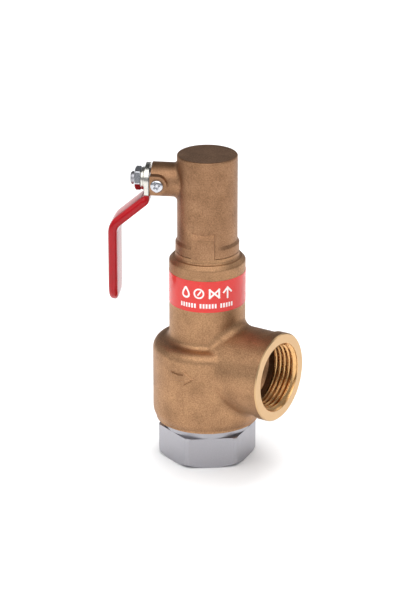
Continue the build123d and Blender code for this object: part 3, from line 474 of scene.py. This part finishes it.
def make_label_print():
    """White marks printed on the label: a drop, a gauge, a valve sign and an arrow, with bars under them.

    Each mark is a strip half its width to either side of a line, laid out in millimetres across and up
    from the label's lower edge. Across is then turned to an angle about the valve's axis.
    """
    radius = extent("label_band", (1, 0, 0))[1] + PRINT_LIFT
    low = extent("label_band", UP)[0]
    middle = math.radians(CAMERA_AZIMUTH - 90)
    strips = []

    def band(points, width):
        """A strip of constant width along a line of points."""
        points = np.array(points, float)
        along = np.gradient(points, axis=0)
        along /= np.linalg.norm(along, axis=1, keepdims=True)
        square = np.stack([-along[:, 1], along[:, 0]], -1)
        strips.append(np.stack([points - square * width / 2, points + square * width / 2], 1))

    def path(*corners, width=0.85):
        """Straight strokes between corners, each run on by half its width."""
        corners = np.array(corners, float)
        for p, q in zip(corners[:-1], corners[1:]):
            beyond = (q - p) / np.linalg.norm(q - p) * width / 2
            band(np.linspace(p - beyond, q + beyond, 8), width)

    row = 9.4      # middle height of the signs
    t = np.linspace(0, TAU, 60)
    drop = np.stack([-10.6 + 2.4 * np.sin(t) * np.sin(t / 2) ** 1.5, row + 0.2 + 2.6 * np.cos(t)], -1)
    band(drop, 0.9)
    gauge = np.stack([-4.0 + 2.2 * np.sin(t), row + 2.2 * np.cos(t)], -1)
    band(gauge, 0.75)
    path((-4.4, row - 0.7), (-3.2, row + 1.0), width=0.7)
    path((1.1, row - 2.0), (1.1, row + 2.0), (5.6, row - 2.0), (5.6, row + 2.0), (1.1, row - 2.0))
    path((9.9, row - 2.5), (9.9, row + 2.2))
    path((7.9, row + 0.3), (9.9, row + 2.5), (11.9, row + 0.3))
    bar_gap = 1.42
    for start, count in ((-13.0, 6), (-3.2, 6), (6.6, 5)):
        for across in start + bar_gap * np.arange(count):
            path((across, 2.6), (across, 3.9))
    firsts = np.cumsum([0] + [2 * len(strip) for strip in strips[:-1]])
    faces = np.vstack([first + 2 * np.arange(len(strip) - 1)[:, None] + np.array([0, 1, 3, 2])
                       for first, strip in zip(firsts, strips)])
    flat = np.vstack([strip.reshape(-1, 2) for strip in strips]) * MM
    angle = middle + flat[:, 0] / radius
    points = np.stack([radius * np.cos(angle), radius * np.sin(angle), low + flat[:, 1]], -1)
    mesh = bpy.data.meshes.new("label_print")
    mesh.from_pydata(points.tolist(), [], faces.tolist())
    piece = bpy.data.objects.new("label_print", mesh)
    bpy.context.scene.collection.objects.link(piece)
    wall = piece.modifiers.new("ink", "SOLIDIFY")
    wall.thickness = PRINT_LIFT
    wall.offset = 0
    return piece


# ---------------------------------------------------------------- materials

def srgb(code):
    """Linear colour from an sRGB hex value."""
    channels = [int(code[i:i + 2], 16) / 255 for i in (1, 3, 5)]
    return (*[c / 12.92 if c <= 0.04045 else ((c + 0.055) / 1.055) ** 2.4 for c in channels], 1.0)


def node(tree, kind, links=None, values=None, stops=(), **settings):
    """Adds a node with its own settings, the values of its inputs and the sockets that feed them.

    Stops are a ramp's (position, hex colour) pairs.
    """
    made = tree.nodes.new("ShaderNode" + kind)
    for index, (position, code) in enumerate(stops):
        if index >= len(made.color_ramp.elements):
            made.color_ramp.elements.new(position)
        made.color_ramp.elements[index].position = position
        made.color_ramp.elements[index].color = srgb(code)
    for name, value in settings.items():
        setattr(made, name, value)
    for socket, value in (values or {}).items():
        made.inputs[socket].default_value = value
    for socket, source in (links or {}).items():
        tree.links.new(source, made.inputs[socket])
    return made


EVEN = (1, 1, 1)                # a pattern's lumps as long as they are wide


def new_material(name, color, metallic, roughness, specular=0.5):
    """A material with its shader's settings; gives it, its tree, its shader and Object coordinates."""
    material = bpy.data.materials.new(name)
    material.use_nodes = True
    tree = material.node_tree
    shader = tree.nodes["Principled BSDF"]
    shader.inputs["Base Color"].default_value = srgb(color)
    shader.inputs["Metallic"].default_value = metallic
    shader.inputs["Roughness"].default_value = roughness
    shader.inputs["Specular IOR Level"].default_value = specular
    return material, tree, shader, node(tree, "TexCoord").outputs["Object"]


def grain(tree, place, size, detail=3.0, stretch=EVEN):
    """Noise whose lumps are about that size, in metres, divided along each axis by its share of a stretch."""
    stretched = node(tree, "Mapping", {"Vector": place}, {"Scale": stretch}).outputs["Vector"]
    lumps = node(tree, "TexNoise", {"Vector": stretched}, {"Scale": 1 / size, "Detail": detail})
    return lumps.outputs["Fac"]


def spread(tree, pattern, low, high, start=0.3, end=0.7):
    """A pattern's middle range spread to run from low to high."""
    ends = {"From Min": start, "From Max": end, "To Min": low, "To Max": high}
    return node(tree, "MapRange", {"Value": pattern}, ends).outputs["Result"]


def connect(tree, shader, colour, roughness, height, depth):
    """Feeds a shader its colour, its roughness and a relief of that depth in metres."""
    relief = node(tree, "Bump", {"Height": height}, {"Distance": depth})
    tree.links.new(colour, shader.inputs["Base Color"])
    tree.links.new(roughness, shader.inputs["Roughness"])
    tree.links.new(relief.outputs["Normal"], shader.inputs["Normal"])


def cast_bronze(name, dark, middle, light, faced=None):
    """Sand-cast bronze, shot-blasted: satin brown-gold with a fine grain of tiny glints and soft blotches.

    With a faced colour, the outlet's end is faced on a lathe: paler gold, smoother, with fine rings.
    """
    material, tree, shader, place = new_material(name, middle, 1.0, 0.5)
    blotches = grain(tree, place, 9 * MM, 4.0)
    # Sand grains of 0.2 to 0.3 mm are too fine to show, so they are drawn at about 0.55 mm.
    sand = grain(tree, place, 0.55 * MM, 4.0)
    stops = [(0.30, dark), (0.5, middle), (0.72, light)]
    tint = node(tree, "ValToRGB", {"Fac": blotches}, stops=stops).outputs["Color"]
    glints = {0: tint, 1: spread(tree, sand, 0.78, 1.22)}
    colour = node(tree, "VectorMath", glints, operation="MULTIPLY").outputs["Vector"]
    roughness = spread(tree, sand, 0.56, 0.44)
    height = sand
    if faced:
        x, y, z = from_outlet(tree, place)
        face = node(tree, "Math", {0: x}, {1: OUTLET_FACING}, operation="GREATER_THAN").outputs["Value"]
        paler = node(tree, "Mix", {"Factor": face, 6: colour}, {7: srgb(faced)}, data_type="RGBA")
        colour = paler.outputs[2]
        roughness = node(tree, "Mix", {"Factor": face, 2: roughness}, {3: 0.3}).outputs[0]
        height = node(tree, "Mix", {"Factor": face, 2: sand, 3: lathe_rings(tree, y, z)}).outputs[0]
    connect(tree, shader, colour, roughness, height, 0.05 * MM)
    return material


def from_outlet(tree, place):
    """Distances from the middle of the outlet's face, along its axis and across it."""
    centre = {1: mounts["outlet"]["pos_m"]}
    away = node(tree, "VectorMath", {0: place}, centre, operation="SUBTRACT").outputs["Vector"]
    parts = node(tree, "SeparateXYZ", {0: away})
    return parts.outputs["X"], parts.outputs["Y"], parts.outputs["Z"]


def lathe_rings(tree, across, other, pitch=0.5 * MM):
    """Fine rings about an axis, from two distances across it; a real feed of 0.15 mm is drawn at 0.5 mm."""
    flat = node(tree, "CombineXYZ", {0: across, 1: other}).outputs["Vector"]
    radius = node(tree, "VectorMath", {0: flat}, operation="LENGTH").outputs["Value"]
    phase = node(tree, "Math", {0: radius}, {1: TAU / pitch}, operation="MULTIPLY").outputs["Value"]
    wave = node(tree, "Math", {0: phase}, operation="SINE").outputs["Value"]
    return spread(tree, wave, 0.3, 0.7, -1.0, 1.0)


def turned_metal(name, colour, roughness, streak, stretch=(1, 1, 6), depth=0.015 * MM):
    """Cut, rolled or plated metal: a sheen that a fine pattern breaks up and slow clouds make uneven.

    The stretch it has unless told otherwise gives level streaks under 0.1 mm thick, like a fine tool's marks.
    """
    material, tree, shader, place = new_material(name, colour, 1.0, roughness)
    lines = grain(tree, place, streak, 3.0, stretch)
    cloud = grain(tree, place, 7 * MM, 2.0)
    rough = spread(tree, cloud, roughness - 0.05, roughness + 0.05)
    light = spread(tree, lines, 0.88, 1.1)
    shade = node(tree, "VectorMath", {1: light}, {0: srgb(colour)[:3]}, operation="MULTIPLY").outputs["Vector"]
    connect(tree, shader, shade, rough, lines, depth)
    return material


def soft_finish(name, colour, shade, roughness, lump, depth, specular=0.5):
    """Moulded, dipped or printed plastic and rubber: an even colour with slow changes and soft lumps."""
    material, tree, shader, place = new_material(name, colour, 0.0, roughness, specular)
    lumps = grain(tree, place, lump, 2.0)
    tint = node(tree, "ValToRGB", {"Fac": lumps}, stops=[(0.35, shade), (0.65, colour)]).outputs["Color"]
    rough = spread(tree, lumps, roughness * 0.85, roughness * 1.15)
    connect(tree, shader, tint, rough, lumps, depth)
    return material


finishes = {
    # Warm brown-gold with a sandy sparkle, and a paler, ringed face at the outlet.
    "cast_bronze": cast_bronze("sand_cast_bronze_body", "#9B7758", "#AB8462", "#B78F6A", faced="#C9A67C"),
    # The same casting a shade darker and browner.
    "cap_bronze": cast_bronze("sand_cast_bronze_cap", "#8F6C50", "#9E785A", "#A98262"),
    # Bright yellow gold, nearly smooth, where a lathe has taken the cast skin off.
    "turned_bronze": turned_metal("turned_bronze", "#D9B077", 0.28, 0.5 * MM),
    # Cool grey with a soft sheen that spreads over the hexagon's flats.
    "stainless_turned": turned_metal("turned_stainless_steel", "#ABAAAF", 0.36, 0.45 * MM),
    # Brighter and warmer grey, rolled smooth, with clear reflections.
    "stainless_sheet": turned_metal("pressed_stainless_sheet", "#D3D0C8", 0.25, 0.6 * MM, EVEN, 0.006 * MM),
    # Pale, slightly blue grey with a satin sheen.
    "zinc_plated_steel": turned_metal("zinc_plated_steel", "#B9BCC0", 0.33, 0.5 * MM),
    # Dark grey drawn wire under a film of oil.
    "spring_steel": turned_metal("oiled_spring_wire", "#6F7075", 0.35, 0.4 * MM, EVEN),
    # Hard, mirror-like plating with black and white reflections.
    "chromed_screw": turned_metal("chrome_plated_steel", "#C9CACF", 0.14, 1.5 * MM, EVEN, 0.003 * MM),
    # Deep glossy red, with the slow waves of a coat that has run and set.
    "red_vinyl_dip": soft_finish("dipped_red_vinyl", "#A80A16", "#A00812", 0.13, 6 * MM, 0.05 * MM, 0.35),
    # Orange-red film, flat and half glossy.
    "red_label": soft_finish("printed_red_film", "#DB3029", "#D62B26", 0.24, 12 * MM, 0.02 * MM),
    # Matt near-black with the faint pebble of the mould.
    "soft_seat": soft_finish("moulded_seat_rubber", "#26262A", "#202024", 0.6, 1.2 * MM, 0.02 * MM),
    # Black with a dull shine along the ring.
    "rubber_ring": soft_finish("moulded_nitrile_rubber", "#1C1C1E", "#161618", 0.5, 1.0 * MM, 0.02 * MM),
    # Milky white and waxy, very slightly uneven.
    "gasket_sheet": soft_finish("skived_PTFE_sheet", "#E4E2DC", "#DAD8D1", 0.45, 2.0 * MM, 0.02 * MM),
}
# Bright gold flanks, as the tap has just left them.
thread_bronze = turned_metal("cut_bronze_thread", "#DDAE76", 0.27, 3.0 * MM, (4, 1, 1), 0.004 * MM)
# Flat, opaque white that lies on the film.
white_ink = soft_finish("white_screen_ink", "#F6F1EE", "#EFEAE6", 0.35, 4 * MM, 0.01 * MM)


def dress(piece, material):
    """Gives a piece or a frame node its one material."""
    piece.data.materials.clear()
    piece.data.materials.append(material)


# ---------------------------------------------------------------- assembly

for part in frame["record"]["subparts"]:
    dress(frame["nodes"][part["node"]], finishes[part["material_slot"]])

NEW_PIECES = [
    # piece, body, slot, material, the frame node it stands for
    (make_pipe_thread("outlet_thread", mounts["outlet"]), "valve", "cast_bronze", thread_bronze, None),
    (make_pipe_thread("inlet_thread", mounts["inlet"]), "valve", "stainless_turned", None, None),
    (make_stud_thread(), "lever", "stainless_turned", None, None),
    (make_dipped_coat(), "lever", "red_vinyl_dip", None, "lever_grip"),
    (make_hex_nut(), "lever", "chromed_screw", None, "lever_nut"),
    (make_washer("pressed_washer", "plain_washer", PLAIN_WASHER_BORE_R),
     "lever", "stainless_sheet", None, "plain_washer"),
    (make_washer("split_washer", "spring_washer", SPLIT_WASHER_BORE_R, SPLIT_WASHER_OPENING),
     "lever", "stainless_sheet", None, "spring_washer"),
    (make_cross_screw(), "valve", "chromed_screw", None, "retaining_screw"),
    (make_coil_spring(), "valve", "spring_steel", None, "spring"),
    (make_label_print(), "valve", "red_label", white_ink, None),
]
for piece, body, slot, material, stood_for in NEW_PIECES:
    dress(piece, material or finishes[slot])
    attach(piece, body)
    if stood_for:
        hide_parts(stood_for)

spring_bottom, spring_top = spring_span()
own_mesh(bpy.data.objects["coil_spring"])

# ---------------------------------------------------------------- studio

def aim_at_valve(holder, azimuth, elevation, distance):
    """Places an object at a direction, in degrees, and a distance from the camera's target, facing it."""
    a, e = math.radians(azimuth), math.radians(elevation)
    away = Vector((math.sin(a) * math.cos(e), -math.cos(a) * math.cos(e), math.sin(e)))
    holder.location = CAMERA_TARGET + away * distance
    holder.rotation_mode = "QUATERNION"
    holder.rotation_quaternion = (-away).to_track_quat("-Z", "Y")
    bpy.context.scene.collection.objects.link(holder)


def area_light(name, azimuth, elevation, distance, width, height, power, shows_in_metal=True):
    """A white soft box facing the valve from a direction, in degrees."""
    lamp = bpy.data.lights.new(name, "AREA")
    lamp.shape = "RECTANGLE"
    lamp.size, lamp.size_y = width, height
    lamp.energy = power
    holder = bpy.data.objects.new(name, lamp)
    holder.visible_glossy = shows_in_metal
    aim_at_valve(holder, azimuth, elevation, distance)


def make_floor():
    """Pale matt floor under the valve."""
    half = FLOOR_SIZE / 2
    mesh = bpy.data.meshes.new("floor")
    corners = [(-half, -half, 0), (half, -half, 0), (half, half, 0), (-half, half, 0)]
    mesh.from_pydata(corners, [], [(0, 1, 2, 3)])
    floor = bpy.data.objects.new("floor", mesh)
    bpy.context.scene.collection.objects.link(floor)
    material, tree, shader, place = new_material("matt_white_paper", "#F4F4F4", 0.0, 0.9)
    fibres = grain(tree, place, 2 * MM)
    bump = node(tree, "Bump", {"Height": fibres}, {"Distance": 0.02 * MM})
    tree.links.new(bump.outputs["Normal"], shader.inputs["Normal"])
    dress(floor, material)


def make_camera():
    """Camera with a long lens at the valve's front."""
    data = bpy.data.cameras.new("camera")
    data.lens = CAMERA_LENS
    camera = bpy.data.objects.new("camera", data)
    aim_at_valve(camera, CAMERA_AZIMUTH, CAMERA_ELEVATION, CAMERA_DISTANCE)
    bpy.context.scene.camera = camera


def make_surroundings():
    """Pale room light that is brightest round the horizon and dim overhead."""
    world = bpy.data.worlds.new("studio")
    world.use_nodes = True
    tree = world.node_tree
    background = tree.nodes["Background"]
    background.inputs["Color"].default_value = srgb("#F2F4F8")
    direction = node(tree, "SeparateXYZ", {0: node(tree, "TexCoord").outputs["Generated"]})
    ends = {"From Min": HORIZON_TOP, "From Max": ZENITH_FOOT, "To Min": HORIZON_LIGHT, "To Max": ZENITH_LIGHT}
    strength = node(tree, "MapRange", {"Value": direction.outputs["Z"]}, ends, interpolation_type="SMOOTHSTEP")
    tree.links.new(strength.outputs["Result"], background.inputs["Strength"])
    bpy.context.scene.world = world


make_floor()
make_camera()
make_surroundings()
area_light("key_soft_box", CAMERA_AZIMUTH + 8, 56, 1.5, 1.9, 1.5, 19)
area_light("left_soft_box", CAMERA_AZIMUTH - 66, 42, 1.5, 1.0, 1.0, 4.5)
area_light("rear_fill", CAMERA_AZIMUTH + 120, 35, 1.8, 0.9, 0.7, 2.4)
# These two light the floor and plain colours only.
area_light("overhead_soft_box", CAMERA_AZIMUTH, 89, 2.0, 2.0, 2.0, 13, shows_in_metal=False)
area_light("floor_wash", CAMERA_AZIMUTH + 180, 68, 1.9, 1.8, 1.2, 30, shows_in_metal=False)
bpy.context.scene.view_settings.view_transform = "Standard"
